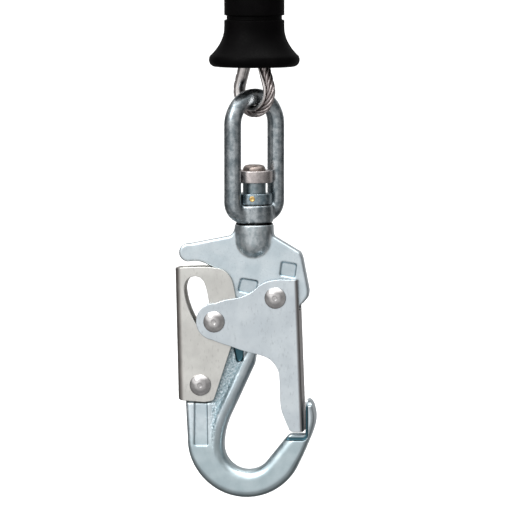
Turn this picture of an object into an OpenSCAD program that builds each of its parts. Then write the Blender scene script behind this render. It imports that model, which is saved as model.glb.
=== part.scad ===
// Hook end of a self retracting lifeline: wire rope with its bumper, thimble and crimps,
// a swivel eye with a load indicator, and a forged double action snap hook.
// Millimetres. +Z points up the rope, the hook lies in the XZ plane and its front faces -Y.
// The origin is the middle of the ferrule that seats in the drum.

/* [Rope] */
// Diameter of the wire rope
rope_d = 4.8; // [4.4:0.1:4.8]
// Radius of the rope's centreline around the thimble
loop_r = 11.9; // [11.7:0.1:12.2]
// Angle of the rope loop's plane about the hook's axis
loop_turn = -36; // [-45:1:-30]
// Diameter of the drum ferrule
ferrule_d = 9.6; // [9:0.1:11]

/* [Bumper] */
// Diameter of the bumper's lip
lip_d = 48; // [44:1:54]
// Diameter of the bumper's body
bumper_d = 31.8; // [30:0.2:34]
// Depth of the grooves round the bumper
groove_depth = 1.3; // [0.8:0.1:2]

/* [Swivel eye] */
// Diameter of the eye's round bar
bar_d = 8.7; // [8:0.1:8.7]
// Distance between the centres of the eye's legs
eye_pitch = 29; // [29:0.5:32]
// Angle of the eye's plane about the hook's axis
eye_turn = 45; // [30:1:60]

/* [Hook] */
// Half thickness of the hook's head and web
web_half = 4.4; // [3.8:0.1:4.4]
// Half thickness of the bowl
bowl_half = 8; // [7.5:0.1:8.5]
// Diameter of the rivet heads
head_d = 11.4; // [10:0.2:12]

/* [Hidden] */
$fn = 48;

// height of the drum ferrule's middle above the seam between eye and hook
origin_z = 198;
rope_r = rope_d / 2;
// centre of the rope loop's crown
crown_z = 70.2;
// lean of the loop's two legs towards each other
lean = 19;
// thickness of the thimble's wall
thimble_wall = 1.2;
// the two crimps and the ferrule, bottom and top
crimp_low = [107, 125];
crimp_high = [131, 149];
ferrule_low = 190;
ferrule_high = 206;
// offset of the rope's dead end from the axis inside the crimps
dead_x = rope_d + 0.1;
crimp_wall = 1;
// bumper levels
bumper_low = 82.9;
bumper_high = 162.4;
cavity_r = 9.2;
mouth_r = 13.4;
// pivots of gate, arm pin and lever in the hook's plane
gate_pivot = [12.2, -39];
arm_pin = [-20.4, -52];
lever_pivot = [-28, -86];
pin_r = 3;
run_gap = 0.06;
// plates: lever inside, gate outside
lever_in = 4.7;
lever_out = 6.4;
gate_in = 6.7;
gate_out = 8.5;
// swivel shank
shank_r = 6.1;
boss_r = 9.8;
boss_rim_r = 10.35;
// half thickness of the nose between the gate's plates
nose_half = 5.6;

// a smooth curve through points, n steps between each pair
function knot(p, i) = p[max(0, min(len(p) - 1, i))];
function between(a, b, c, d, t) = 0.5 * (2 * b + (c - a) * t + (2 * a - 5 * b + 4 * c - d) * t * t
    + (3 * b - a - 3 * c + d) * t * t * t);
function smooth(p, n = 4) = concat([for (i = [0:len(p) - 2]) for (k = [0:n - 1])
    between(knot(p, i - 1), p[i], p[i + 1], knot(p, i + 2), k / n)], [p[len(p) - 1]]);

// a flat piece in the hook's plane, centred on it
module flat(t) {
    rotate([90, 0, 0]) linear_extrude(height = t, center = true) children();
}

// a round bar across the hook's plane
module cross_bar(p, r, t) {
    translate([p[0], 0, p[1]]) rotate([90, 0, 0]) cylinder(r = r, h = t, center = true);
}

// points of a quarter bend round c, from angle a0 up
function bend(c, r, a0) = [for (a = [a0:15:a0 + 90]) c + r * [cos(a), sin(a)]];

// section of a folded sheet: two plates and the fold, whose outer face is at X = 0
module channel_profile(half, inner_half, wall, r) {
    polygon(concat([[-90, -half]], bend([-r, r - half], r, -90), bend([-r, half - r], r, 0),
        [[-90, half], [-90, inner_half], [-wall, inner_half], [-wall, -inner_half],
        [-90, -inner_half]]));
}

// long folded sheet whose fold runs up from a to b in the hook's plane, its plates on the side of -X
module folded_sheet(a, b, half, inner_half, wall, r) {
    d = b - a;
    translate([a[0], 0, a[1]]) rotate([0, atan2(d[0], d[1]), 0]) translate([0, 0, -20])
    linear_extrude(height = norm(d) + 40) channel_profile(half, inner_half, wall, r);
}

// everything is laid out from the swivel seam, then lowered so that the ferrule is at the origin
module place() {
    translate([0, 0, -origin_z]) children();
}

function unit(v) = v / norm(v);
function tangent(p, i) = unit(p[min(i + 1, len(p) - 1)] - p[max(i - 1, 0)]);
function side(t, ref) = unit(cross(t, ref));

// a round wire along a list of points; ref is a direction the path is never parallel to
module wire(p, r, ref, n = 10) {
    rings = len(p);
    verts = [for (i = [0:rings - 1]) let (t = tangent(p, i), s = side(t, ref), u = cross(s, t))
        for (k = [0:n - 1]) p[i] + r * (s * cos(360 * k / n) + u * sin(360 * k / n))];
    walls = [for (i = [0:rings - 2]) for (k = [0:n - 1])
        [i * n + k, i * n + (k + 1) % n, (i + 1) * n + (k + 1) % n, (i + 1) * n + k]];
    first = [for (k = [0:n - 1]) n - 1 - k];
    last = [for (k = [0:n - 1]) (rings - 1) * n + k];
    polyhedron(points = verts, faces = concat([first], walls, [last]), convexity = 8);
}

// a point of the rope loop's plane
function loop_point(u, z) = [u * cos(loop_turn), u * sin(loop_turn), z];

live_route = [
    [0, 197], [0, 185], [0, 173], [0, 161], [0, 149], [0, 137], [0, 125], [0, 114], [0, 108],
    [-0.5, 104], [-1.6, 100.5], [-3.1, 97], [-5, 91.7], [-7, 86], [-8.8, 81]
];
dead_route = [
    [8.8, 81], [7.4, 85.2], [6, 89.4], [5.2, 92.6], [dead_x, 96.5], [dead_x, 102], [dead_x, 108],
    [dead_x, 118], [dead_x, 128], [dead_x, 138], [dead_x, 148.8]
];
crown_route = [for (a = [180 - lean:15:360 + lean + 1])
    [loop_r * cos(a), crown_z + loop_r * sin(a)]];

module lifeline_cable() {
    route = concat(live_route, crown_route, dead_route);
    color([0.60, 0.58, 0.57])
    wire([for (q = route) loop_point(q[0], q[1])], rope_r, [-sin(loop_turn), cos(loop_turn), 0]);
}

// section of the thimble's channel, the rope's centre at the origin and the crown's centre at -X
module channel_section() {
    intersection() {
        difference() {
            circle(r = rope_r + 0.08 + thimble_wall);
            circle(r = rope_r + 0.08);
        }
        translate([-10.6, -10]) square([10, 20]);
    }
}

module thimble_leg() {
    rotate([0, -lean, 0]) translate([loop_r, 0, 0]) linear_extrude(height = 15) channel_section();
}

module thimble() {
    color([0.72, 0.72, 0.73])
    rotate([0, 0, loop_turn]) translate([0, 0, crown_z]) {
        rotate([90, 0, 0]) rotate([0, 0, -180 - lean]) rotate_extrude(angle = 180 + 2 * lean)
        translate([loop_r, 0]) channel_section();
        thimble_leg();
        rotate([0, 0, 180]) thimble_leg();
    }
}

// an oval crimp over the live rope and its dead end
module crimp(z) {
    rotate([0, 0, loop_turn]) translate([0, 0, z[0]]) linear_extrude(height = z[1] - z[0])
    difference() {
        union() {
            circle(r = rope_r + crimp_wall);
            translate([dead_x, 0]) circle(r = rope_r + crimp_wall);
            translate([0, -rope_r - crimp_wall]) square([dead_x, 2 * (rope_r + crimp_wall)]);
        }
        circle(r = rope_r + 0.02);
        translate([dead_x, 0]) circle(r = rope_r + 0.02);
    }
}

module lower_crimp_sleeve() {
    color([0.70, 0.70, 0.71]) crimp(crimp_low);
}

module upper_crimp_sleeve() {
    color([0.70, 0.70, 0.71]) crimp(crimp_high);
}

// the ferrule holds the rope in a blind bore and has a chamfered top
module drum_ferrule() {
    r = ferrule_d / 2;
    color([0.66, 0.66, 0.67])
    difference() {
        rotate_extrude() polygon([[0, ferrule_low], [r - 0.8, ferrule_low], [r, ferrule_low + 0.8],
            [r, ferrule_high - 0.8], [r - 0.8, ferrule_high], [0, ferrule_high]]);
        translate([0, 0, ferrule_low - 1]) cylinder(r = rope_r + 0.02, h = 8.02);
    }
}

// the bumper's outline: thick lip, hollow flare, grooved body and rounded top
lip_r = lip_d / 2;
body_r = bumper_d / 2;
grooves = [107.4, 120.1, 132.8, 145.5];
function groove_points(z) = [[body_r, z], [body_r - groove_depth, z + 0.4],
    [body_r - groove_depth, z + 2.3], [body_r, z + 2.7]];
function lip_points() = [for (a = [-90:18:36]) [lip_r - 3.2 + 3.2 * cos(a), bumper_low + 3.6 * (1 + sin(a))]];
function flare_points() = [for (t = [0.12:0.11:1])
    [body_r + (lip_r - body_r - 1) * pow(1 - t, 2.1), bumper_low + 6 + 15 * t]];

module bumper_shell() {
    outline = concat([[mouth_r, bumper_low], [lip_r - 6, bumper_low]], lip_points(), flare_points(),
        [for (z = grooves) each groove_points(z)],
        [[body_r, 157], [body_r - 1, 160], [body_r - 3.4, 162], [body_r - 6, bumper_high],
        [6.3, bumper_high], [6.3, 156.6], [cavity_r, 156.6], [cavity_r, 105], [mouth_r, 97]]);
    color([0.08, 0.08, 0.085])
    rotate_extrude($fn = 72) polygon(outline);
}

// steel washer moulded into the bumper's bore, which comes to rest on the upper crimp
module bumper_washer() {
    color([0.62, 0.62, 0.63])
    difference() {
        translate([0, 0, 149.4]) cylinder(r = cavity_r - 0.02, h = 2);
        cylinder(r = rope_r + 0.4, h = 200);
    }
}

// plastic guide that keeps the rope off the rubber at the top
module bumper_guide() {
    color([0.16, 0.16, 0.17])
    difference() {
        union() {
            translate([0, 0, 156.4]) cylinder(r = 6.28, h = 6.4);
            translate([0, 0, 151.6]) cylinder(r = cavity_r - 0.02, h = 4.98);
            translate([0, 0, bumper_high + 0.02]) cylinder(r = 8.4, h = 1.6);
        }
        cylinder(r = rope_r + 0.35, h = 200);
    }
}

eye_half = eye_pitch / 2;
bar_r = bar_d / 2;
bow_z = 66.9 - eye_half;
corner_r = 7;

module eye_corner() {
    translate([eye_half - corner_r, 0, 11.65]) rotate([90, 0, 0]) rotate([0, 0, -90])
    rotate_extrude(angle = 90) translate([corner_r, 0]) circle(r = bar_r);
}

// a bar bent to an eye, with a bored boss at its foot
module swivel_eye() {
    color([0.55, 0.57, 0.60])
    rotate([0, 0, eye_turn])
    difference() {
        union() {
            translate([0, 0, bow_z]) rotate([90, 0, 0]) rotate_extrude(angle = 180)
            translate([eye_half, 0]) circle(r = bar_r);
            for (s = [0, 180]) {
                rotate([0, 0, s]) {
                    translate([eye_half, 0, 11.65]) cylinder(r = bar_r, h = bow_z - 11.65);
                    eye_corner();
                    translate([0, 0, 4.65]) rotate([0, 90, 0])
                    cylinder(r = bar_r, h = eye_half - corner_r);
                }
            }
            translate([0, 0, 0.3]) cylinder(r = 10, h = 9.5);
        }
        cylinder(r = 7.6, h = 30, center = true);
        translate([0, 0, 9.8]) cylinder(r = 9.75, h = 6);
    }
}

module swivel_bush() {
    color([0.66, 0.53, 0.30])
    difference() {
        translate([0, 0, 0.4]) cylinder(r = 7.58, h = 9.3);
        cylinder(r = shank_r + run_gap, h = 30, center = true);
    }
}

// load indicator collar on the shank above the eye's boss
module indicator_collar() {
    color([0.62, 0.64, 0.67])
    difference() {
        rotate_extrude() polygon([[shank_r + 0.02, 10.2], [9.0, 10.2], [9.4, 10.7], [9.4, 15.3],
            [8.9, 15.9], [shank_r + 0.02, 15.9]]);
        translate([0, -6, 13.1]) rotate([90, 0, 0]) cylinder(r = 1.52, h = 8);
    }
}

// brass shear pin in the collar's front
module indicator_pin() {
    color([0.78, 0.62, 0.30])
    translate([0, -shank_r - 0.3, 13.1]) rotate([90, 0, 0]) cylinder(r = 1.5, h = 3.1);
}

module retaining_washer() {
    color([0.60, 0.62, 0.65])
    rotate_extrude() polygon([[shank_r + 0.02, 21.5], [9.2, 21.5], [9.8, 22.2], [9.8, 27.2],
        [9.2, 28], [shank_r + 0.02, 28]]);
}

module swivel_seal() {
    color([0.05, 0.05, 0.05])
    difference() {
        translate([0, 0, -0.6]) cylinder(r = 9.8, h = 0.6);
        cylinder(r = shank_r + 0.3, h = 4, center = true);
    }
}

// head with its thumb horn on the left and gate lobe on the right, and the web down to the bowl
module head_outline() {
    underside = [[-34.6, -20.6], [-30.5, -20.2], [-26.7, -21.1], [-23.5, -22.7], [-19.5, -25.2],
        [-16.8, -29], [-16, -35], [-15.5, -45], [-15.5, -57], [-17, -64], [-20.2, -72]];
    lobe = [[12.2, -49.6], [17, -47.8], [21, -46], [26, -42.4], [28.9, -38.9], [29.4, -35.8]];
    polygon(concat([[-9, -4], [-12.4, -6.6], [-34, -11.1], [-39.2, -18.2]], smooth(underside),
        [[-24, -79], [-36, -92], [-35.6, -100], [-16, -100], [-12.8, -103], [2.5, -70.5],
        [7.4, -60]], smooth(lobe), [[25.9, -17.8], [24.8, -15.2], [10.1, -6.6], [9, -4]]));
    translate([-35.1, -15.8]) circle(r = 4.8);
    translate(lever_pivot) circle(r = 9);
}

// bowl of the hook with its nose on the right
module bowl_outline() {
    nose = [[22.2, -131.4], [26, -123.4], [28.9, -116.6], [31.3, -110.6], [32.7, -105.3],
        [32.5, -101], [31.8, -97.4], [31, -94.4]];
    difference() {
        union() {
            translate([-4, -115]) circle(r = 31, $fn = 96);
            polygon([[-36, -92], [-36, -96.5], [-35, -115], [-4, -115], [0, -104], [-12, -92]]);
            polygon(concat(smooth(nose), [[30.2, -93], [29, -92.8], [28.1, -93.6], [27.9, -95.5],
                [27.9, -112], [10, -112]]));
        }
        polygon([[4, -67.3], [-13, -103.7], [-15.1, -110.1], [-16.1, -118.6], [-3.2, -118.6],
            [6.9, -126.6], [18.6, -112], [27.9, -112], [27.9, -60]]);
        translate([-3.2, -118.6]) circle(r = 12.9);
        translate([-50, -96.6]) square([78, 40]);
    }
}

// thick rib along the inside of the spine
module rib_outline() {
    polygon([[-4.6, -71.2], [2.5, -70.5], [-13, -103.7], [-15.1, -110.1], [-20.8, -109.4],
        [-19.5, -101.4], [-16.3, -94.5], [-10.9, -83.9]]);
}

// hollow beside the rib, in the bowl's faces
module groove_outline() {
    polygon([[-16.3, -94.5], [-19.5, -101.4], [-20.8, -109.4], [-21.1, -120], [-22.8, -117],
        [-23.2, -108], [-22.6, -94.5]]);
}

// seat of the gate's plates on both sides of the nose
module seat_outline() {
    polygon([[8, -114.8], [26.8, -114.8], [28.6, -114], [29.3, -112.2], [29.3, -97.5],
        [29.9, -96.3], [36, -96.3], [36, -80], [8, -80]]);
}

// slope from the web under the lever's plates to the full thickness of the bowl
module spine_slope() {
    for (s = [-1, 1]) scale([1, s, 1]) translate([-50, 0, 0]) rotate([90, 0, 90])
    linear_extrude(height = 28.5)
    polygon([[web_half, -95], [12, -95], [12, -112], [bowl_half, -112]]);
}

module both_faces(y, t) {
    for (s = [-1, 1]) translate([0, s * (y + t / 2), 0]) flat(t) children();
}

module hook_body() {
    color([0.63, 0.68, 0.71])
    difference() {
        union() {
            flat(2 * web_half) head_outline();
            flat(2 * bowl_half) bowl_outline();
            flat(12.6) intersection() {
                rib_outline();
                translate([-30, -90]) square([50, 40]);
            }
            flat(2 * bowl_half) intersection() {
                rib_outline();
                translate([-30, -119]) square([50, 40]);
            }
            cross_bar(gate_pivot, 7, 12.8);
            translate([0, 0, -9]) sphere(r = boss_r);
            translate([0, 0, -9]) cylinder(r = boss_r, h = 5);
            translate([0, 0, -6]) cylinder(r = boss_rim_r, h = 5.4);
            rotate_extrude() polygon([[0, -2], [shank_r, -2], [shank_r, 28.4], [5.7, 29.8], [4.6, 30.7],
                [3, 31], [0, 31]]);
        }
        cross_bar(gate_pivot, pin_r, 40);
        cross_bar(lever_pivot, pin_r, 40);
        flat(5.2) translate(gate_pivot) {
            circle(r = 6.6);
            polygon([[0, 6.5], [-6, -3], [-2, -14], [14, -14], [18, -5], [6, 0]]);
        }
        both_faces(nose_half, 4) seat_outline();
        spine_slope();
        both_faces(bowl_half - 1.4, 4) groove_outline();
        both_faces(bowl_half - 0.5, 4)
        polygon([[-31.4, -98.5], [-24.6, -98.5], [-24, -118.5], [-31.2, -118.5]]);
        both_faces(web_half - 0.5, 4)
        polygon([[14.8, -19.6], [23.3, -21.1], [22.3, -28.6], [14.2, -27.6]]);
        both_faces(web_half - 1.2, 4)
        polygon([[-10, -68], [-5.8, -67.6], [-5.4, -73], [-8.6, -73.6]]);
    }
}

// a rivet across the hook's plane with a domed head on each side; half is where the heads start
module rivet(p, half) {
    translate([p[0], 0, p[1]]) {
        rotate([90, 0, 0]) cylinder(r = pin_r, h = 2 * half + 1, center = true);
        for (s = [0, 180]) rotate([90, 0, s]) translate([0, 0, half]) intersection() {
            cylinder(r = head_d / 2, h = 2.1);
            translate([0, 0, -6.1]) sphere(r = sqrt(6.1 * 6.1 + head_d * head_d / 4));
        }
    }
}

module gate_pivot_rivet() {
    color([0.78, 0.78, 0.78]) rivet(gate_pivot, gate_out + 0.15);
}

module lever_pivot_rivet() {
    color([0.78, 0.78, 0.78]) rivet(lever_pivot, lever_out + 0.15);
}

module arm_rivet() {
    color([0.78, 0.78, 0.78]) rivet(arm_pin, gate_out + 0.02);
}

// spacer on the arm pin between the lever's plates
module arm_bush() {
    color([0.60, 0.60, 0.61])
    difference() {
        cross_bar(arm_pin, 4.3, 8.6);
        cross_bar(arm_pin, pin_r + 0.02, 20);
    }
}

// torsion spring round the gate's pivot: one end bears on the gate's fold, one on the hook
module gate_spring() {
    turns = [for (a = [-60:30:960]) [gate_pivot[0] + 4.6 * cos(a), -1.95 + 3.9 * (a + 60) / 1020,
        gate_pivot[1] + 4.6 * sin(a)]];
    feet = [[gate_pivot[0] + 9.6, -1.95, -50.4], [gate_pivot[0] + 6, -1.95, -46.8]];
    color([0.45, 0.45, 0.46])
    wire(concat(feet, turns, [[5.6, 1.95, -45.4], [6.2, 1.95, -48.4]]), 0.55, [0, 1, 0.02], 8);
}

// compression spring between the lever's fold and the hook
module lever_spring() {
    coil = [for (a = [0:24:2160]) [-38.6 + 17.2 * a / 2160, 2.9 * cos(a), -72.6 + 2.9 * sin(a)]];
    color([0.45, 0.45, 0.46]) wire(coil, 0.5, [1, 0, 0], 8);
}

// outer face of the gate's fold, from the nose to the top
gate_fold = [[27, -110.2], [23.9, -29.6]];

module gate_outline() {
    top = [[14.8, -29.2], [9.4, -30], [5.2, -31.6], [2, -34], [-1.2, -36.5], [-5, -38.3],
        [-8.7, -39.4], [-17.3, -40.8], [-20.4, -42.4]];
    bottom = [[-20.4, -61.6], [-17.3, -63.3], [-11.4, -65.1], [-6.6, -66.8], [3, -69.4],
        [6.8, -70.4], [9.6, -72], [11.8, -74.3], [13.4, -77], [14.3, -80.1], [14.6, -88],
        [14.9, -95], [15.5, -98.8], [16.9, -102.6], [19.1, -107.8], [20.4, -109.7], [22, -110.2]];
    polygon(concat([[40, -29.4], [23, -29.4]], smooth(top, 3), smooth(bottom, 3), [[40, -110.2]]));
    translate(arm_pin) circle(r = 9.7);
}

// gate: two plates joined by a fold along the outside, with a pierced fold at the hook's lobe
module gate() {
    color([0.66, 0.68, 0.70])
    difference() {
        intersection() {
            folded_sheet(gate_fold[0], gate_fold[1], gate_out, gate_in, 1.8, 2);
            flat(40) gate_outline();
        }
        flat(10) polygon([[18, -20], [40, -20], [40, -46], [18, -46]]);
        cross_bar(gate_pivot, pin_r + run_gap, 40);
        cross_bar(arm_pin, pin_r + 0.01, 40);
    }
}

// outer face of the lever's fold, from the top down
lever_fold = [[-41.8, -24.4], [-40.2, -94]];

module lever_outline() {
    top = [[-38.4, -23.6], [-28.2, -23.1], [-21.3, -23.4], [-16.4, -24.4], [-13.4, -26.4],
        [-11.2, -29.6], [-10, -34.2], [-9, -39]];
    foot = [[-20.4, -92.5], [-21.6, -94.2], [-24, -95.2]];
    polygon(concat([[-60, -23.8]], smooth(top, 3), [[-8.6, -56], [-11.5, -65.2]], smooth(foot, 3),
        [[-30, -95.2], [-38.2, -94.4], [-60, -93.6]]));
}

// slot in the lever's plates: the arm pin runs up along it as the lever is squeezed
module lever_slot() {
    polygon(concat(smooth([[-30.6, -28.1], [-33.4, -28.8], [-35.6, -30.8], [-36.6, -34],
        [-36.5, -37], [-35.6, -41.5], [-33.7, -46.8], [-31.6, -51]], 3), [[-28, -51], [-22.4, -49]],
        smooth([[-23.5, -42], [-24.6, -35.6], [-26, -31.4], [-28, -29], [-30.6, -28.1]], 3)));
    translate([-20.4, -52]) circle(r = 3.35);
    translate([-31, -40]) circle(r = 3.35);
    translate([-20.4, -52]) rotate([0, 0, 131.46]) translate([0, -3.35]) square([16, 6.7]);
}

module lock_lever() {
    color([0.72, 0.71, 0.68])
    difference() {
        intersection() {
            folded_sheet(lever_fold[0], lever_fold[1], lever_out, lever_in, 1.7, 3);
            flat(40) lever_outline();
        }
        both_faces(lever_in - 0.5, 4) lever_slot();
        cross_bar(lever_pivot, pin_r + run_gap, 40);
    }
}

place() lifeline_cable();
place() thimble();
place() lower_crimp_sleeve();
place() upper_crimp_sleeve();
place() drum_ferrule();
place() bumper_shell();
place() bumper_washer();
place() bumper_guide();
place() swivel_eye();
place() swivel_bush();
place() hook_body();
place() retaining_washer();
place() indicator_collar();
place() indicator_pin();
place() swivel_seal();
place() gate_pivot_rivet();
place() lever_pivot_rivet();
place() gate_spring();
place() lever_spring();
place() gate();
place() arm_rivet();
place() arm_bush();
place() lock_lever();
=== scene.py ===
"""Looks of the lifeline's hook end: bumper, rope loop, swivel eye and double action snap hook.

Lengths below are millimetres in the hook's own frame: X to the right, Y away from the front, Z up from
the seam between eye and hook. place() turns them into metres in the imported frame.
"""
import math

import bmesh
import bpy
import numpy as np
from mathutils import Matrix, Vector
from mathutils.geometry import delaunay_2d_cdt


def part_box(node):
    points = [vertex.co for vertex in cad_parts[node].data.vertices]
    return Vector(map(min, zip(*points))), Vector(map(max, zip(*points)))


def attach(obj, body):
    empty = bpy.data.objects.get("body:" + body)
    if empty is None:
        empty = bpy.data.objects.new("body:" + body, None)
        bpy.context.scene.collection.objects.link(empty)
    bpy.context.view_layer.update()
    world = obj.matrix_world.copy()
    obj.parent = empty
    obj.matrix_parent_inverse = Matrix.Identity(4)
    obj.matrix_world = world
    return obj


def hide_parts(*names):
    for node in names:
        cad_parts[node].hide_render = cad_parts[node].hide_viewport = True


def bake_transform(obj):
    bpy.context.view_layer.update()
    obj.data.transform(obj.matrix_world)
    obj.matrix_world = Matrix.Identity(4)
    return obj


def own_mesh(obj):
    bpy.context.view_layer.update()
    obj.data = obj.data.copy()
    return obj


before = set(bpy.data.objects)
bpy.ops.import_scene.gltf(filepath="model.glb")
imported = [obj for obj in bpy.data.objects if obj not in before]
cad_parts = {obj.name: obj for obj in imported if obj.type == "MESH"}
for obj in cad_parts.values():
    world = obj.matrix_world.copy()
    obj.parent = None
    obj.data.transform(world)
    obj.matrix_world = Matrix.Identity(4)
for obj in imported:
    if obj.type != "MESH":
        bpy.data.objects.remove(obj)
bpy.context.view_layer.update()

MM = 0.001
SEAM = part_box("swivel_seal")[1].z
pi = math.pi


def place(points):
    """Millimetres in the hook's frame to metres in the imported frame."""
    return np.asarray(points, float) * MM + np.array([0, 0, SEAM])


# ---- camera
VIEW_CENTRE = (-0.95, 0, -19.7)
VIEW_HEIGHT = 275.6
VIEW_AZIMUTH = math.radians(7)
VIEW_ELEVATION = math.radians(5)
VIEW_DISTANCE = 2.4


def make_camera():
    data = bpy.data.cameras.new("camera")
    camera = bpy.data.objects.new("camera", data)
    bpy.context.scene.collection.objects.link(camera)
    target = Vector(place(VIEW_CENTRE))
    away = Vector((
        math.sin(VIEW_AZIMUTH) * math.cos(VIEW_ELEVATION),
        -math.cos(VIEW_AZIMUTH) * math.cos(VIEW_ELEVATION),
        math.sin(VIEW_ELEVATION),
    ))
    camera.location = target + away * VIEW_DISTANCE
    camera.rotation_euler = away.to_track_quat("Z", "Y").to_euler()
    data.sensor_width = 36
    data.lens = 36 * VIEW_DISTANCE / (VIEW_HEIGHT * MM)
    data.clip_start = 0.05
    bpy.context.scene.camera = camera


make_camera()


# ---- mesh helpers
def link(name, mesh, body):
    """A smooth piece that rides on a body, or on none when no body is given."""
    piece = bpy.data.objects.new(name, mesh)
    bpy.context.scene.collection.objects.link(piece)
    mesh.shade_smooth()
    if body:
        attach(piece, body)
    return piece


def mesh_from(name, points, faces):
    mesh = bpy.data.meshes.new(name)
    mesh.from_pydata(place(points).tolist(), [], [list(map(int, f)) for f in faces])
    mesh.update()
    return mesh


def finish_piece(piece, material, slot, *replaced):
    piece.data.materials.clear()
    piece.data.materials.append(material)
    if replaced:
        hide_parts(*replaced)
    return piece


def fillet(corners, closed=False):
    """A polyline whose corners (x, y, radius) are rounded, as points."""
    out = []
    count = len(corners)
    for i, corner in enumerate(corners):
        p = np.array(corner[:2], float)
        radius = corner[2] if len(corner) > 2 else 0
        ends = not closed and i in (0, count - 1)
        if radius <= 0 or ends:
            out.append(p)
            continue
        before = np.array(corners[i - 1][:2], float) - p
        after = np.array(corners[(i + 1) % count][:2], float) - p
        la, lb = np.linalg.norm(before), np.linalg.norm(after)
        before, after = before / la, after / lb
        half = math.acos(np.clip(before @ after, -1, 1)) / 2
        reach = min(radius / math.tan(half), 0.48 * la, 0.48 * lb)
        radius = reach * math.tan(half)
        centre = p + (before + after) / np.linalg.norm(before + after) * radius / math.sin(half)
        start = p + before * reach - centre
        stop = p + after * reach - centre
        turn = math.atan2(start[0] * stop[1] - start[1] * stop[0], start @ stop)
        steps = max(2, int(abs(turn) / 0.26))
        first = math.atan2(start[1], start[0])
        for k in range(steps + 1):
            angle = first + turn * k / steps
            out.append(centre + radius * np.array([math.cos(angle), math.sin(angle)]))
    return out


def spline(points, steps=6, closed=False):
    """A smooth curve through the points."""
    p = np.asarray(points, float)
    n = len(p)
    out = []
    for i in range(n if closed else n - 1):
        if closed:
            a, b, c, d = p[i - 1], p[i], p[(i + 1) % n], p[(i + 2) % n]
        else:
            a, b, c, d = p[max(i - 1, 0)], p[i], p[i + 1], p[min(i + 2, n - 1)]
        for k in range(steps):
            t = k / steps
            out.append(0.5 * (2 * b + (c - a) * t + (2 * a - 5 * b + 4 * c - d) * t**2
                              + (3 * b - a - 3 * c + d) * t**3))
    if not closed:
        out.append(p[-1])
    return out


def lathe(name, profile, body, centre=(0, 0, 0), axis="z", steps=96):
    """A turned piece: profile is (radius, height) points, and a radius of 0 closes it."""
    profile = [(float(r), float(h)) for r, h in profile]
    bm = bmesh.new()
    rings = []
    for r, h in profile:
        if r < 1e-6:
            rings.append([bm.verts.new((0, 0, h))])
        else:
            rings.append([
                bm.verts.new((r * math.cos(2 * pi * k / steps), r * math.sin(2 * pi * k / steps), h))
                for k in range(steps)
            ])
    for low, high in zip(rings, rings[1:]):
        for k in range(steps):
            j = (k + 1) % steps
            if len(low) == 1 and len(high) == 1:
                continue
            if len(low) == 1:
                bm.faces.new((low[0], high[j], high[k]))
            elif len(high) == 1:
                bm.faces.new((low[k], low[j], high[0]))
            else:
                bm.faces.new((low[k], low[j], high[j], high[k]))
    turn = {"z": Matrix.Identity(3), "-y": Matrix.Rotation(pi / 2, 3, "X"),
            "y": Matrix.Rotation(-pi / 2, 3, "X")}[axis]
    for v in bm.verts:
        v.co = Vector(place(np.array(turn @ v.co) + np.array(centre)))
    bmesh.ops.recalc_face_normals(bm, faces=bm.faces)
    mesh = bpy.data.meshes.new(name)
    bm.to_mesh(mesh)
    bm.free()
    return link(name, mesh, body)


def closed_lathe(name, profile, body, **options):
    """A turned ring: the profile's last point joins its first."""
    return lathe(name, list(profile) + [profile[0]], body, **options)


def directions(path):
    """Unit tangents at a path's points."""
    tangent = np.gradient(path, axis=0)
    return tangent / np.linalg.norm(tangent, axis=1)[:, None]


def stitched(rows, size):
    """Faces between rows of size points each, with a cap at either end."""
    faces = [(i * size + k, i * size + (k + 1) % size, (i + 1) * size + (k + 1) % size, (i + 1) * size + k)
             for i in range(rows - 1) for k in range(size)]
    last = (rows - 1) * size
    return faces + [tuple(range(size - 1, -1, -1)), tuple(range(last, last + size))]


def sweep(path, section, normal):
    """Points and faces of a section (across, along normal) swept along a path in a plane with that normal."""
    path = np.asarray(path, float)
    normal = np.asarray(normal, float)
    across = np.cross(directions(path), normal)
    section = np.asarray(section, float)
    points = (path[:, None, :] + section[None, :, :1] * across[:, None, :]
              + section[None, :, 1:] * normal[None, None, :]).reshape(-1, 3)
    return points, stitched(len(path), len(section))


def orient(mesh):
    """Merges points that coincide and turns every face outwards."""
    bm = bmesh.new()
    bm.from_mesh(mesh)
    bmesh.ops.remove_doubles(bm, verts=bm.verts, dist=1e-6)
    bmesh.ops.recalc_face_normals(bm, faces=bm.faces)
    bm.to_mesh(mesh)
    bm.free()
    return mesh


# ---- solids as distance fields
def outline_distance(x, z, outline):
    """Signed distance to a closed outline on a grid, negative inside."""
    pts = np.asarray(outline, float)
    nearest = np.full(x.shape, 1e9)
    inside = np.zeros(x.shape, bool)
    for (ax, az), (bx, bz) in zip(pts, np.roll(pts, -1, axis=0)):
        ex, ez = bx - ax, bz - az
        length = ex * ex + ez * ez
        if length < 1e-12:
            continue
        t = np.clip(((x - ax) * ex + (z - az) * ez) / length, 0, 1)
        nearest = np.minimum(nearest, (x - ax - t * ex)**2 + (z - az - t * ez)**2)
        if ez != 0:
            crosses = ((az > z) != (bz > z)) & (x < ex * (z - az) / ez + ax)
            inside ^= crosses
    return np.where(inside, -1, 1) * np.sqrt(nearest)


def rounded_distance(x, z, corners):
    """Signed distance to a closed outline whose corners (x, z, radius) are rounded."""
    return outline_distance(x, z, fillet(corners, closed=True))


def soften(field, cells):
    """Blurs a 2-D field, which rounds the corners of its outline."""
    reach = int(3 * cells) + 1
    kernel = np.exp(-0.5 * (np.arange(-reach, reach + 1) / cells)**2)
    kernel /= kernel.sum()
    for axis in (0, 1):
        padded = np.pad(field, [(reach, reach) if a == axis else (0, 0) for a in (0, 1)], mode="edge")
        field = np.apply_along_axis(lambda row: np.convolve(row, kernel, mode="valid"), axis, padded)
    return field


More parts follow.
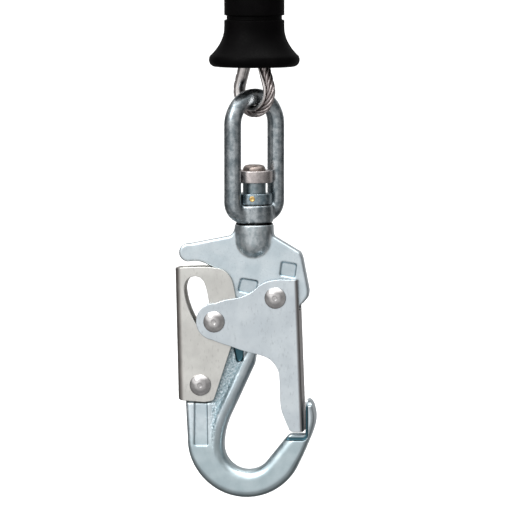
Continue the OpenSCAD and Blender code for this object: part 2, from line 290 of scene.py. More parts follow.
def blend_union(a, b, k):
    h = np.clip(0.5 + 0.5 * (b - a) / k, 0, 1)
    return b * (1 - h) + a * h - k * h * (1 - h)


def round_cut(a, b, r):
    """Intersection of two solids whose shared edge has radius r."""
    pa, pb = np.maximum(a + r, 0), np.maximum(b + r, 0)
    return np.sqrt(pa * pa + pb * pb) + np.minimum(np.maximum(a, b) + r, 0) - r


def step(low, high, value):
    t = np.clip((value - low) / (high - low), 0, 1)
    return t * t * (3 - 2 * t)


CELL_CORNERS = np.array([(i, j, k) for i in (0, 1) for j in (0, 1) for k in (0, 1)])


def surface_points(field):
    """One point in each cell that the surface crosses, in cells, and the cells' numbers."""
    inside = field < 0
    shape = np.array(field.shape) - 1
    count = np.zeros(shape, np.int8)
    for i, j, k in CELL_CORNERS:
        count += inside[i:i + shape[0], j:j + shape[1], k:k + shape[2]]
    crossed = (count > 0) & (count < 8)
    cells = np.argwhere(crossed)
    number = np.full(shape, -1, np.int64)
    number[crossed] = np.arange(len(cells))
    total = np.zeros((len(cells), 3))
    hits = np.zeros(len(cells))
    for a in CELL_CORNERS:
        for axis in range(3):
            if a[axis]:
                continue
            b = a.copy()
            b[axis] = 1
            fa = field[tuple((cells + a).T)]
            fb = field[tuple((cells + b).T)]
            cross = (fa < 0) != (fb < 0)
            t = fa[cross] / (fa[cross] - fb[cross])
            total[cross] += a + t[:, None] * (b - a)
            hits[cross] += 1
    return cells + total / hits[:, None], number


def surface_quads(field, number):
    inside = field < 0
    quads = []
    for axis in range(3):
        u, v = (axis + 1) % 3, (axis + 2) % 3
        low = np.moveaxis(inside, axis, 0)[:-1]
        high = np.moveaxis(inside, axis, 0)[1:]
        where = np.argwhere(low != high)
        rows = np.empty_like(where)
        order = [axis] + [a for a in range(3) if a != axis]
        rows[:, order] = where
        keep = (rows[:, u] > 0) & (rows[:, v] > 0)
        keep &= (rows[:, u] < number.shape[u]) & (rows[:, v] < number.shape[v])
        rows = rows[keep]
        eu, ev = np.eye(3, dtype=int)[u], np.eye(3, dtype=int)[v]
        quad = np.stack([number[tuple((rows - du * eu - dv * ev).T)]
                         for du, dv in ((0, 0), (1, 0), (1, 1), (0, 1))], axis=1)
        flip = inside[tuple(rows.T)]
        quad[~flip] = quad[~flip][:, ::-1]
        quads.append(quad)
    return np.concatenate(quads)


def sample(field, at):
    """The field's value at points given in cells."""
    at = np.clip(at, 0, np.array(field.shape) - 1.001)
    base = at.astype(int)
    part = at - base
    value = 0
    for corner in CELL_CORNERS:
        weight = np.prod(np.where(corner, part, 1 - part), axis=1)
        value = value + weight * field[tuple((base + corner).T)]
    return value


def turned(points, degrees):
    """Points turned about the hook's axis."""
    c, s = math.cos(math.radians(degrees)), math.sin(math.radians(degrees))
    return np.asarray(points, float) @ np.array([[c, s, 0], [-s, c, 0], [0, 0, 1]])


def sculpt(name, low, high, cell, solid, attributes=None, turn=0):
    """A mesh of the surface where solid(x, y, z) is zero. Attributes are functions of x, y, z."""
    axes = [np.arange(a, b + cell, cell) for a, b in zip(low, high)]
    x, y, z = np.meshgrid(*axes, indexing="ij", sparse=True)
    field = solid(x, y, z, cell)
    at, number = surface_points(field)
    quads = surface_quads(field, number)
    for _ in range(2):
        slope = np.stack([sample(field, at + d) - sample(field, at - d) for d in 0.5 * np.eye(3)], axis=1)
        steep = np.maximum((slope**2).sum(1), 0.2 * cell**2)
        at = at - np.clip(sample(field, at) / steep, -0.6 / cell, 0.6 / cell)[:, None] * slope
    points = np.array(low) + cell * at
    mesh = bpy.data.meshes.new(name)
    mesh.vertices.add(len(points))
    mesh.vertices.foreach_set("co", place(turned(points, turn)).astype(np.float32).ravel())
    mesh.loops.add(quads.size)
    mesh.loops.foreach_set("vertex_index", quads.astype(np.int32).ravel())
    mesh.polygons.add(len(quads))
    mesh.polygons.foreach_set("loop_start", np.arange(0, quads.size, 4, dtype=np.int32))
    mesh.update(calc_edges=True)
    mesh.validate()
    for label, measure in (attributes or {}).items():
        values = measure(points[:, 0], points[:, 1], points[:, 2])
        layer = mesh.attributes.new(label, "FLOAT", "POINT")
        layer.data.foreach_set("value", np.asarray(values, np.float32))
    return orient(mesh)


# ---- hook body
WEB_HALF = 4.4
RIB_HALF = 6.3
BOWL_HALF = 8.0
GATE_PIVOT = (12.2, -39)
ARM_PIN = (-20.4, -52)
LEVER_PIVOT = (-28, -86)
SHANK_R = 6.1
SHANK_TOP = 27.9
PIN_R = 3
PIN_HOLE_R = 3.15
HOOK_CELL = 0.476  # finer gives more faces than the exporter keeps
BOSS_R = 9.8


def arc(cx, cz, r, start, stop, steps=14):
    angles = np.radians(np.linspace(start, stop, steps))
    return [(cx + r * math.cos(a), cz + r * math.sin(a)) for a in angles]


HOOK_OUTLINE = (
    [(9, -2), (-9, -2), (-12.4, -6.7), (-34, -11.1)]
    + arc(-35.1, -15.8, 4.8, 80, 262)
    + spline([(-34.6, -20.6), (-30.5, -20.2), (-26.7, -21.1), (-23.5, -22.7), (-19.5, -25.2),
              (-16.8, -29), (-16, -35), (-15.5, -45), (-15.5, -57), (-17, -64), (-20.2, -72)])
    + arc(-28, -86, 9, 75, 200)
    + [(-36.3, -92), (-36.2, -97), (-35.2, -112)]
    + arc(-4, -115, 31, 178, 322, 40)
    + spline([(22.2, -131.4), (26, -123.4), (28.9, -116.6), (31.3, -110.6), (32.7, -105.3),
              (32.8, -101), (32.1, -97.8), (31.5, -94.8)])
    + [(30.4, -93.2), (29, -93), (27.8, -93.9), (20, -92), (2.5, -70.5), (7.4, -60), (12.2, -49.6), (17, -47.8),
       (21, -46), (26, -42.4), (28.9, -38.9), (29.4, -35.8), (25.9, -17.8), (24.8, -15.2), (10.4, -6.7)]
)
BOWL_OPENING = (
    [(20, -78), (6, -63), (2.5, -70.5), (-13, -103.7)]
    + spline([(-13, -103.7), (-15, -109.8), (-16, -116), (-16.1, -119)])
    + arc(-3.2, -118.6, 12.9, 182, 321, 30)
    + [(18.6, -112), (23.5, -105.5), (22, -90)]
)
NOSE_NOTCH = [(10, -100), (16, -108), (17, -112), (27.9, -112), (27.9, -60), (10, -60)]
NOSE_HALF = 5.6
PLATE_SEAT = [(8, -114.8), (29.4, -114.8, 3), (29.4, -96.2, 0.5), (36, -95.4), (36, -80), (8, -80)]
GROOVE = [(-9, -63), (-3.4, -72), (-9.4, -85), (-14.3, -95.5), (-17.6, -102.5), (-19, -110), (-19.6, -118),
          (-19.8, -125), (-21.8, -122), (-22.9, -114), (-23.1, -104), (-22.6, -96), (-25, -88), (-19, -72),
          (-14, -63)]
PANELS = (
    ([(-31.3, -90, 0), (-24.7, -90, 0), (-23.9, -118.4, 1.2), (-31.2, -118.4, 1.2)], 0.7),
    ([(15, -19.9, 1), (23.2, -21.2, 1), (22.1, -28.8, 1), (14, -27.4, 1)], 0.75),
    ([(-6.6, -29, 1), (2.6, -30.4, 1), (1, -38, 1), (-8.4, -36, 1)], 0.75),
    ([(-10.4, -66), (-5.6, -66), (-5.2, -73, 1), (-8.8, -73.6, 1)], 1.6),
)
RIB_POCKET = [(-10.6, -60), (-5.4, -60), (-5, -73.2), (-9, -73.8)]
SPRING_POCKET = [(6, -33), (2, -53), (16, -53), (31, -44), (18, -34), (12, -32)]


def groove_share(distance):
    """How far a place lies in the rough hollow beside the rib, from 0 to 1."""
    return step(0.6, -2.2, distance)


def hook_half_thickness(x, z, opening, groove):
    """Half thickness of the forging over its own plane."""
    rib_half = (WEB_HALF + (RIB_HALF - WEB_HALF) * step(-60, -68, z)
                + (BOWL_HALF - RIB_HALF) * step(-76.5, -93, z))
    rib = WEB_HALF + (rib_half - WEB_HALF) * (1 - step(5.2, 7.8, opening)) * step(-58, -66, z)
    level = np.interp(-z, [94, 99, 110, 126], [WEB_HALF, 5.4, 6.8, BOWL_HALF])
    slope = np.interp(-z, [96, 119], [5.7, BOWL_HALF])
    face = np.where(z > -95.6, WEB_HALF, np.where(x < -21.5, slope, BOWL_HALF))
    hollow = groove_share(groove)
    return np.maximum(rib, face + (level - face) * hollow)


def hook_solid(x, y, z, cell):
    x2, z2 = x[:, 0, :] + 0 * z[:, 0, :], z[:, 0, :] + 0 * x[:, 0, :]
    blur = 0.7 / cell
    outline = soften(outline_distance(x2, z2, HOOK_OUTLINE), blur)
    opening = soften(-outline_distance(x2, z2, BOWL_OPENING), blur)
    notch = -outline_distance(x2, z2, NOSE_NOTCH)
    groove = outline_distance(x2, z2, GROOVE)
    half = soften(hook_half_thickness(x2, z2, -opening, groove), 0.5 / cell)
    depth = np.abs(y)
    flat = depth - half[:, None, :]
    edge = 1.25 + 1.35 * step(-90, -98, z2) + 1.8 * step(-118, -138, z2)
    body = round_cut(flat, outline[:, None, :], edge[:, None, :])
    body = round_cut(body, opening[:, None, :], 5.4)
    body = round_cut(body, notch[:, None, :], 1.0)
    seat = rounded_distance(x2, z2, PLATE_SEAT)
    body = round_cut(body, -np.maximum(seat[:, None, :], NOSE_HALF - depth), 0.5)
    for corners, recess in PANELS:
        panel = rounded_distance(x2, z2, corners)
        cut = np.maximum(panel[:, None, :], half[:, None, :] - recess - depth)
        body = -blend_union(-body, cut, 0.35)
    radial = np.sqrt(x * x + y * y)
    boss = np.sqrt(radial**2 + np.minimum(z + 9, 0)**2) - BOSS_R - 0.55 * step(-10, -2.5, z)
    body = blend_union(body, round_cut(boss, z + 0.6, 0.7), 1.3)
    pad = np.sqrt((x - GATE_PIVOT[0])**2 + (z - GATE_PIVOT[1])**2) - 7
    body = blend_union(body, round_cut(pad, depth - 6.4, 0.5), 0.8)
    for px, pz in (GATE_PIVOT, LEVER_PIVOT):
        body = np.maximum(body, 3.2 - np.sqrt((x - px)**2 + (z - pz)**2))
    slot = outline_distance(x2, z2, SPRING_POCKET)[:, None, :]
    body = np.maximum(body, -np.maximum(slot, depth - 2.6))
    shank = np.maximum(radial - SHANK_R, np.maximum(z - SHANK_TOP, -z - 6))
    return np.minimum(body, shank)


def hook_roughness(x, y, z):
    """1 in the rough forged hollow beside the rib, 0 on the smooth faces."""
    groove = outline_distance(x, z, GROOVE)
    return groove_share(groove) * step(3.6, 4.4, np.abs(y)) * step(-60, -66, z)


# A slightly darker tone in the stamped fields, and painted shade round their rims and on the shank.
FIELD_TINT = 0.10
RIM_SHADE = 0.16
SHANK_SHADE = 0.5


def hook_shade_and_field_tone(x, y, z):
    """Painted shade: 1 in the gate's seat and the pocket beside the rib, less on the shank and at the
    stamped fields' rims; the stamped fields are a little darker as well."""
    seat = rounded_distance(x, z, PLATE_SEAT)
    wall = step(-2.2, -1.2, seat) * step(0.5, 0, seat) * step(4.6, 5.4, np.abs(y)) * step(-94.5, -97.5, z)
    pocket = step(0.5, 0, outline_distance(x, z, RIB_POCKET)) * step(4.6, 4.2, np.abs(y))
    tint = np.maximum(wall, pocket * step(2, 2.6, np.abs(y)))
    for corners, _ in PANELS[:3]:
        field = rounded_distance(x, z, corners)
        tint = np.maximum(tint, FIELD_TINT * step(0.4, -0.4, field) + RIM_SHADE * step(0.9, 0.2, np.abs(field)))
    return np.maximum(tint, SHANK_SHADE * step(14.5, 15.5, z))


def bowl_shade_share(x, y, z):
    """1 on the bowl, which is painted darker as shade, and 0 on the head."""
    return step(-103, -122, z)


def boss_share(x, y, z):
    """1 on the turned boss under the swivel, 0 on the flat head."""
    return step(1.2, 0.4, np.sqrt(x * x + y * y + np.minimum(z + 9, 0)**2) - BOSS_R)


def make_hook(material):
    mesh = sculpt("hook_body_forging", (-42, -11.2, -148), (35, 11.2, 29), HOOK_CELL, hook_solid,
                  {"rough_forging": hook_roughness, "turned_boss": boss_share, "shade_and_field_tone": hook_shade_and_field_tone,
                   "bowl": bowl_shade_share})
    return finish_piece(link("hook_body_forging", mesh, "hook"), material, "forged_zinc", "hook_body")


def shank_head(material):
    """Peened end of the shank above the retaining washer."""
    rim = SHANK_R - 0.05
    profile = [(0, 27.5), (rim, 27.5), (rim, 28.3), (5.95, 29), (5.6, 29.8), (4.95, 30.45), (4.1, 30.85),
               (3, 31), (1.6, 30.9), (0, 30.8)]
    return finish_piece(lathe("shank_peened_end", profile, "hook"), material, "forged_zinc")


# ---- folded sheets: gate and lever
def inset(loop, amount):
    """A closed loop moved to its left by amount."""
    p = np.asarray(loop, float)
    before, after = p - np.roll(p, 1, axis=0), np.roll(p, -1, axis=0) - p
    sides = [np.stack([-d[:, 1], d[:, 0]], axis=1) / np.linalg.norm(d, axis=1)[:, None]
             for d in (before, after)]
    spread = np.maximum(1 + (sides[0] * sides[1]).sum(1), 0.3)
    return p + amount * (sides[0] + sides[1]) / spread[:, None]


def wound(loop, direction):
    """A closed loop without repeated points, counterclockwise for direction 1."""
    p = np.asarray(loop, float)
    p = p[np.linalg.norm(p - np.roll(p, 1, axis=0), axis=1) > 0.02]
    x, z = p.T
    area = (x * np.roll(z, -1) - z * np.roll(x, -1)).sum()
    return p if area * direction > 0 else p[::-1]


def flat_region(outer, holes, cuts):
    """Triangles that fill a region, with edges along the vertical lines at cuts: points, faces, rim loops."""
    points, edges = [], []
    for loop in [outer] + holes:
        start, count = len(points), len(loop)
        points += [Vector(p) for p in loop]
        edges += [(start + k, start + (k + 1) % count) for k in range(count)]
    low, high = outer[:, 1].min() - 1, outer[:, 1].max() + 1
    for u in cuts:
        points += [Vector((u, low)), Vector((u, high))]
        edges.append((len(points) - 2, len(points) - 1))
    verts, _, faces, *_ = delaunay_2d_cdt(points, edges, [], 0, 1e-4)
    verts = np.array([tuple(v) for v in verts])
    faces = np.array([tuple(f) for f in faces])
    centre = verts[faces].mean(axis=1)
    keep = outline_distance(centre[:, 0], centre[:, 1], outer) < 0
    for hole in holes:
        keep &= outline_distance(centre[:, 0], centre[:, 1], hole) > 0
    faces = faces[keep]
    a, b, c = (verts[faces[:, k]] for k in range(3))
    clockwise = (b[:, 0] - a[:, 0]) * (c[:, 1] - a[:, 1]) < (b[:, 1] - a[:, 1]) * (c[:, 0] - a[:, 0])
    faces[clockwise] = faces[clockwise][:, ::-1]
    used, faces = np.unique(faces, return_inverse=True)
    faces = faces.reshape(-1, 3)
    pairs = {(f[k], f[(k + 1) % 3]) for f in faces.tolist() for k in range(3)}
    following = {a: b for a, b in pairs if (b, a) not in pairs}
    rims = []
    while following:
        start = next(iter(sorted(following)))
        rim, at = [], start
        while at in following:
            rim.append(at)
            at = following.pop(at)
        rims.append(rim)
    return verts[used], faces, rims


RIM_R = 0.32


def folded_sheet(name, body, fold, side, edge, holes, half, wall, bend, window=None):
    """A sheet folded to a channel. fold is the line of the fold's outer face, bottom and top; side is +1 or -1,
    the way its plates point along X; edge runs round one plate from the fold's top to its bottom; window is
    (half width, lowest height) of a notch down the fold from its top."""
    bottom, top = (np.array(p, float) for p in fold)
    up = (top - bottom) / np.linalg.norm(top - bottom)
    across = side * np.array([up[1], -up[0]])
    flat = half - bend
    middle = bend - wall / 2
    bend_length = pi / 2 * middle

    def unfold(points):
        rel = np.asarray(points, float) - bottom
        return np.stack([rel @ across - bend + flat + bend_length, rel @ up], axis=1)

    def fold_up(at, height):
        """Points of the folded sheet, height above its middle surface."""
        u = np.abs(at[:, 0])
        turn = np.clip((u - flat) / middle, 0, pi / 2)
        inward = bend - (middle + height) * np.cos(turn) + np.maximum(u - flat - bend_length, 0)
        outward = np.minimum(u, flat) + (middle + height) * np.sin(turn)
        flat_points = bottom + inward[:, None] * across + at[:, 1:2] * up
        return np.stack([flat_points[:, 0], np.sign(at[:, 0]) * outward, flat_points[:, 1]], axis=1)

    plate = unfold(edge)
    plate = plate[plate[:, 0] > flat * 0.9]
    outline = list(plate) + list((plate * [-1, 1])[::-1])
    if window:
        reach, sill = window[0], window[1] - bottom[1]
        high = plate[0][1]
        notch = fillet([(-reach, high), (-reach, sill, 1.5), (reach, sill, 1.5), (reach, high)])
        outline += notch
    outer = inset(wound(outline, 1), RIM_R)
    cuts = [unfold(hole) for hole in holes]
    cuts += [cut * [-1, 1] for cut in cuts]
    cuts = [inset(wound(cut, -1), RIM_R) for cut in cuts]
    bends = [sign * (flat + bend_length * k / 6) for k in range(7) for sign in (-1, 1)]
    verts, faces, rims = flat_region(outer, cuts, bends)
    levels = [(RIM_R * math.sin(t), wall / 2 - RIM_R * (1 - math.cos(t))) for t in (pi / 6, pi / 3, pi / 2)]
    levels += [(grow, -height) for grow, height in reversed(levels)]
    points = [fold_up(verts, wall / 2), fold_up(verts, -wall / 2)]
    count = len(verts)
    solid = faces.tolist() + (faces[:, ::-1] + count).tolist()
    total = 2 * count
    for rim in rims:
        size = len(rim)
        rows = [np.array(rim)]
        for grow, height in levels:
            points.append(fold_up(inset(verts[rim], -grow), height))
            rows.append(total + np.arange(size))
            total += size
        rows.append(np.array(rim) + count)
        for low, high in zip(rows, rows[1:]):
            solid += [(low[k], low[(k + 1) % size], high[(k + 1) % size], high[k]) for k in range(size)]
    mesh = orient(mesh_from(name, np.concatenate(points), solid))
    # Painted shade on the fold wall: this point attribute is 1 over the fold and its bend, 0 on the plates.
    at = (np.array([v.co for v in mesh.vertices]) - place((0, 0, 0))) / MM
    depth = (at[:, [0, 2]] - bottom) @ across
    layer = mesh.attributes.new("fold_wall_shade", "FLOAT", "POINT")
    layer.data.foreach_set("value", step(bend, 0.3 * bend, depth).astype(np.float32))
    piece = link(name, mesh, body)
    even = piece.modifiers.new("flat_faces", "WEIGHTED_NORMAL")
    even.mode = "FACE_AREA"
    even.weight = 90
    return piece


def ring(centre, r, steps=40):
    return [(centre[0] + r * math.cos(2 * pi * k / steps), centre[1] + r * math.sin(2 * pi * k / steps))
            for k in range(steps)]


GATE_FOLD = ((27, -110.2), (23.9, -29.6))
GATE_TOP = [(14.8, -29.2), (9.4, -30), (5.2, -31.6), (2, -34), (-1.2, -36.5), (-5, -38.3), (-8.7, -39.4),
            (-14.6, -40.4), (-18.9, -41.9)]
GATE_BOTTOM = [(-21.2, -61.8), (-17.3, -63.3), (-11.4, -65.1), (-6.6, -66.8), (-1, -68.3), (3, -69.2),
               (6.8, -70.4), (9.6, -72), (11.8, -74.3), (13.4, -77), (14.3, -80.4), (14.6, -88), (14.9, -95),
               (15.5, -98.8), (16.9, -102.6), (19.1, -107.8), (20.1, -109.6), (21.8, -110.2)]
LEVER_FOLD = ((-40.2, -94), (-41.8, -24.4))
LEVER_TOP = [(-28.2, -23.1), (-21.3, -23.4), (-16.4, -24.4), (-13.4, -26.5), (-11.2, -29.8), (-10, -34.2),
             (-9, -39.5)]
SLOT_LEFT = [(-30.6, -28.1), (-33.4, -28.8), (-35.6, -30.8), (-36.6, -34), (-36.5, -37), (-35.6, -41.5),
             (-33.7, -46.8), (-31.4, -51.6), (-30, -53.6)]
SLOT_RIGHT = [(-22, -48.9), (-23.4, -42), (-24.6, -35.6), (-26, -31.4), (-28, -29), (-30.6, -28.1)]


def make_gate(material):
    arm = arc(*ARM_PIN, 9.7, 85, 262, 22)
    edge = ([(23.9, -29.4), (22, -29.4)] + spline(GATE_TOP, 4) + arm + spline(GATE_BOTTOM, 4)[1:]
            + [(24, -110.2), (27, -110.2)])
    piece = folded_sheet("gate_plates", "gate", GATE_FOLD, -1, edge,
                         [ring(GATE_PIVOT, PIN_HOLE_R), ring(ARM_PIN, 3.1)],
                         half=8.5, wall=1.8, bend=2.0, window=(4.95, -46))
    return finish_piece(piece, material, "plate_zinc_gate", "gate")


def make_lever(material):
    edge = ([(-41.8, -24), (-38.4, -23.6)] + spline(LEVER_TOP, 4) + [(-8.6, -56)]
            + fillet([(-8.6, -56), (-11.5, -65.2, 2), (-21, -94.4, 2.6), (-26, -95.2, 2), (-38.4, -94.4)])
            + [(-40.2, -93.8)])
    slot = (spline(SLOT_LEFT, 4) + arc(-20.4, -52, 3.35, 222, 402, 14)[1:] + spline(SLOT_RIGHT, 4)[1:-1])
    piece = folded_sheet("lock_lever_plates", "lever", LEVER_FOLD, 1, edge,
                         [ring(LEVER_PIVOT, PIN_HOLE_R), slot], half=6.4, wall=1.7, bend=3.9)
    return finish_piece(piece, material, "plate_zinc_lever", "lock_lever")


# ---- rivets
HEAD_R = 5.7
HEAD_RIM = 0.42
HEAD_RISE = 1.95
HEAD_DISC = 1.5
HEAD_CURVE = (HEAD_R**2 + HEAD_RISE**2) / (2 * HEAD_RISE)


def rivet(name, body, centre, start, node, material):
    """A rivet with domed heads on both sides; start is the heads' distance from the middle plane."""
    dome = [(5.35, 0.0), (5.62, 0.14)]
    for r in np.linspace(HEAD_R, HEAD_DISC, 14):
        dome.append((r, HEAD_RIM + HEAD_RISE - HEAD_CURVE + math.sqrt(HEAD_CURVE**2 - r * r)))
    top = dome[-1][1]
    dome += [(HEAD_DISC - 0.15, top - 0.02), (HEAD_DISC - 0.3, top - 0.12), (0, top - 0.14)]
    front = [(r, start + h) for r, h in dome]
    back = [(r, -h) for r, h in reversed(front)]
    profile = back + [(PIN_R, -start), (PIN_R, start)] + front
    piece = lathe(name, profile, body, centre=(centre[0], 0, centre[1]), axis="y", steps=64)
    return finish_piece(piece, material, "rivet_steel", node)


# ---- swivel eye and what is on the shank
EYE_TURN = 45
EYE_CELL = 0.38
EYE_HALF = 14.5
BAR_R = 4.35
BAR_FLAT = 0.92  # width over depth of the bar's section below the bow
BOW_Z = 52.4


def eye_solid(x, y, z, cell):
    wide = np.abs(x)
    bow = np.sqrt(wide**2 + np.maximum(z - BOW_Z, 0)**2) - EYE_HALF
    qx, qz = wide - 7.5, 11.65 - z
    foot = np.sqrt(np.maximum(qx, 0)**2 + np.maximum(qz, 0)**2) + np.minimum(np.maximum(qx, qz), 0) - 7
    line = np.where(z > 30, bow, foot)
    oval = BAR_FLAT + (1 - BAR_FLAT) * step(54, 62, z)
    bar = np.sqrt(line**2 + (oval * y)**2) - BAR_R
    radial = np.sqrt(x * x + y * y)
    boss = round_cut(radial - 10, np.abs(z - 5.05) - 4.75, 1.3)
    eye = blend_union(bar, boss, 2.2)
    eye = np.maximum(eye, 0.3 - z)
    eye = np.maximum(eye, 7.62 - radial - 100 * (z > 30))
    seat = np.maximum(radial - 9.75, np.abs(z - 13) - 3.15)
    return -blend_union(-eye, seat, 0.3)


def make_eye(material):
    mesh = sculpt("swivel_eye_forging", (-19.6, -10.8, -0.6), (19.6, 10.8, 72), EYE_CELL, eye_solid,
                  turn=EYE_TURN)
    return finish_piece(link("swivel_eye_forging", mesh, "eye"), material, "eye_steel", "swivel_eye")


def make_swivel_parts(materials):
    for name, section, look, slot, node in (
        ("indicator_collar_ring", [(6.12, 10.2), (9.4, 10.2, 0.5), (9.4, 15.85, 0.45), (6.12, 15.85)],
         "swivel_zinc", "forged_zinc", "indicator_collar"),
        ("retaining_washer_ring", [(6.12, 21.5), (9.8, 21.5, 0.7), (9.8, 28, 0.6), (6.12, 28)],
         "washer_zinc", "forged_zinc", "retaining_washer"),
        ("swivel_seal_ring", [(6.4, -0.6), (9.8, -0.6, 0.1), (9.8, 0, 0.15), (6.4, 0)],
         "rubber", "black_rubber", "swivel_seal"),
    ):
        finish_piece(closed_lathe(name, fillet(section), "hook"), materials[look], slot, node)
    pin = [(0, 6.5), (1.5, 6.5), (1.5, 9.36), (1.42, 9.52), (1.2, 9.62), (0.9, 9.66), (0.75, 9.55), (0, 9.52)]
    finish_piece(lathe("indicator_shear_pin", pin, "hook", centre=(0, 0, 13.3), axis="-y", steps=40),
                 materials["brass"], "pin_brass", "indicator_pin")


# ---- rope, thimble, crimps and ferrule
LOOP_TURN = -36
ROPE_D = 4.8
LOOP_R = 11.9
CROWN_Z = 70.2
LEAN = 19
DEAD_X = 4.9
LIVE_ROUTE = [(0, 197), (0, 185), (0, 173), (0, 161), (0, 149), (0, 137), (0, 125), (0, 114), (0, 108),
              (-0.5, 104), (-1.6, 100.5), (-3.1, 97), (-5, 91.7), (-7, 86), (-8.8, 81)]
CROWN_ROUTE = [(LOOP_R * math.cos(math.radians(a)), CROWN_Z + LOOP_R * math.sin(math.radians(a)))
               for a in range(180 - LEAN, 360 + LEAN + 1, 15)]
DEAD_ROUTE = [(8.8, 81), (7.4, 85.2), (6, 89.4), (5.2, 92.6), (DEAD_X, 96.5), (DEAD_X, 102), (DEAD_X, 108),
              (DEAD_X, 118), (DEAD_X, 128), (DEAD_X, 138), (DEAD_X, 148.8)]
LOOP_NORMAL = (-math.sin(math.radians(LOOP_TURN)), math.cos(math.radians(LOOP_TURN)), 0)


def loop_points(route):
    """Points (across, up) of the rope loop's plane in the hook's frame."""
    return turned([(u, 0, z) for u, z in route], LOOP_TURN)


def even_path(points, spacing):
    fine = np.array(spline(points, 12))
    run = np.concatenate([[0], np.cumsum(np.linalg.norm(np.diff(fine, axis=0), axis=1))])
    at = np.linspace(0, run[-1], int(run[-1] / spacing) + 1)
    return np.stack([np.interp(at, run, fine[:, a]) for a in range(3)], axis=1), at


STRANDS = 6
STRAND_R = 0.8
ROPE_LAY = -25.0  # length of one turn of the strands
WIRE_LAY = -1.6  # turns of a strand's wires to one turn of the strands
WIRES = 7


def rope_section(turn, twist):
    """Outline of six strands that touch, each with its own wires, as (across, along normal) points."""
    reach = math.radians(113)
    local = np.linspace(-reach, reach, 25)
    wires = np.abs(np.cos(WIRES / 2 * (local - twist)))
    radius = STRAND_R * (0.91 + 0.09 * np.sqrt(wires))
    out = []
    for k in range(STRANDS):
        facing = turn + 2 * pi * k / STRANDS
        centre = (ROPE_D / 2 - STRAND_R) * np.array([math.cos(facing), math.sin(facing)])
        around = np.stack([np.cos(facing + local), np.sin(facing + local)], axis=1)
        out.append(centre + radius[:, None] * around)
    return np.concatenate(out)


def make_rope(material):
    path, run = even_path(loop_points(LIVE_ROUTE + CROWN_ROUTE + DEAD_ROUTE), 0.8)
    normal = np.array(LOOP_NORMAL)
    across = np.cross(directions(path), normal)
    points = []
    for i, at in enumerate(run):
        turn = 2 * pi * at / ROPE_LAY
        section = rope_section(turn, WIRE_LAY * turn)
        points.append(path[i] + section[:, :1] * across[i] + section[:, 1:] * normal)
    faces = stitched(len(path), len(section))
    mesh = orient(mesh_from("wire_rope_strands", np.concatenate(points), faces))
    return finish_piece(link("wire_rope_strands", mesh, "lifeline"), material, "wire_rope",
                        "lifeline_cable"), path, run[-1]


THIMBLE_INNER_R = 2.5
THIMBLE_OUTER_R = 4.14
THIMBLE_WRAP = 60


def make_thimble(material):
    """Stainless channel bent round the crown of the rope loop."""
    lean = math.radians(LEAN)
    leg = [k * 3.75 for k in range(4, 0, -1)]
    foot = (LOOP_R * math.cos(lean), CROWN_Z + LOOP_R * math.sin(lean))
    left = [(-foot[0] + d * math.sin(lean), foot[1] + d * math.cos(lean)) for d in leg]
    crown = arc(0, CROWN_Z, LOOP_R, 180 - LEAN, 360 + LEAN, 45)
    right = [(-u, z) for u, z in reversed(left)]
    opening = math.radians(THIMBLE_WRAP)
    outer = arc(0, 0, THIMBLE_OUTER_R, -THIMBLE_WRAP, THIMBLE_WRAP, 25)
    tip_r = (THIMBLE_OUTER_R - THIMBLE_INNER_R) / 2
    tip_at = (THIMBLE_INNER_R + THIMBLE_OUTER_R) / 2

    def tip(sign):
        centre = (tip_at * math.cos(opening), sign * tip_at * math.sin(opening))
        return [(centre[0] + tip_r * math.cos(a), centre[1] + tip_r * math.sin(a))
                for a in sign * (opening + np.linspace(0.4, pi - 0.4, 5))]

    inner = arc(0, 0, THIMBLE_INNER_R, THIMBLE_WRAP, -THIMBLE_WRAP, 25)
    section = outer + tip(1) + inner + tip(-1)[::-1]
    points, faces = sweep(loop_points(left + crown + right), section, LOOP_NORMAL)
    mesh = orient(mesh_from("thimble_channel", points, faces))
    return finish_piece(link("thimble_channel", mesh, "lifeline"), material, "stainless", "thimble")


def make_ferrule(material):
    profile = fillet([(0, 190), (4.8, 190, 0.8), (4.8, 206, 0.8), (0, 206)])
    return finish_piece(lathe("drum_ferrule_swaged", profile, "lifeline"), material, "crimp_metal",
                        "drum_ferrule")


# ---- bumper
LIP_R = 24.0
BODY_R = 15.9
BUMPER_LOW = 82.9
GROOVES = (107.4, 120.1, 132.8, 145.5)


def bumper_profile():
    lip = [(LIP_R - 3.2 + 3.2 * math.cos(math.radians(a)), BUMPER_LOW + 3.6 * (1 + math.sin(math.radians(a))))
           for a in range(-90, 37, 9)]
    flare = [(BODY_R + (LIP_R - BODY_R - 1) * (1 - t)**2.1, BUMPER_LOW + 6 + 15 * t)
             for t in np.linspace(0.06, 1, 22)]
    outer = [(13.4, BUMPER_LOW + 0.4), (13.8, BUMPER_LOW), (18, BUMPER_LOW)] + lip + flare
    for z in GROOVES:
        outer += fillet([(BODY_R, z - 1.2), (BODY_R, z, 0.35), (BODY_R - 1.3, z + 0.35, 0.3),
                         (BODY_R - 1.3, z + 2.35, 0.3), (BODY_R, z + 2.7, 0.35), (BODY_R, z + 3.9)])
    outer += [(BODY_R, 157)] + [(BODY_R - 5.4 + 5.4 * math.cos(a), 157 + 5.4 * math.sin(a))
                                for a in np.linspace(0.1, pi / 2, 10)]
    return outer + [(6.3, 162.4), (6.3, 156.6), (9.2, 156.6), (9.2, 105), (13.4, 97), (13.4, BUMPER_LOW + 0.4)]


def make_bumper(rubber, plastic):
    shell = lathe("bumper_rubber_shell", bumper_profile(), "bumper", steps=128)
    finish_piece(shell, rubber, "black_rubber", "bumper_shell")
    guide = fillet([(2.75, 151.6), (9.15, 151.6, 0.2), (9.15, 156.5, 0.2), (6.25, 156.5), (6.25, 162.5),
                    (8.4, 162.5, 0.2), (8.4, 164.02, 0.5), (3.6, 164.02, 0.9), (2.75, 162.6)])
    return finish_piece(closed_lathe("bumper_rope_guide", guide, "bumper"), plastic, "black_plastic",
                        "bumper_guide")


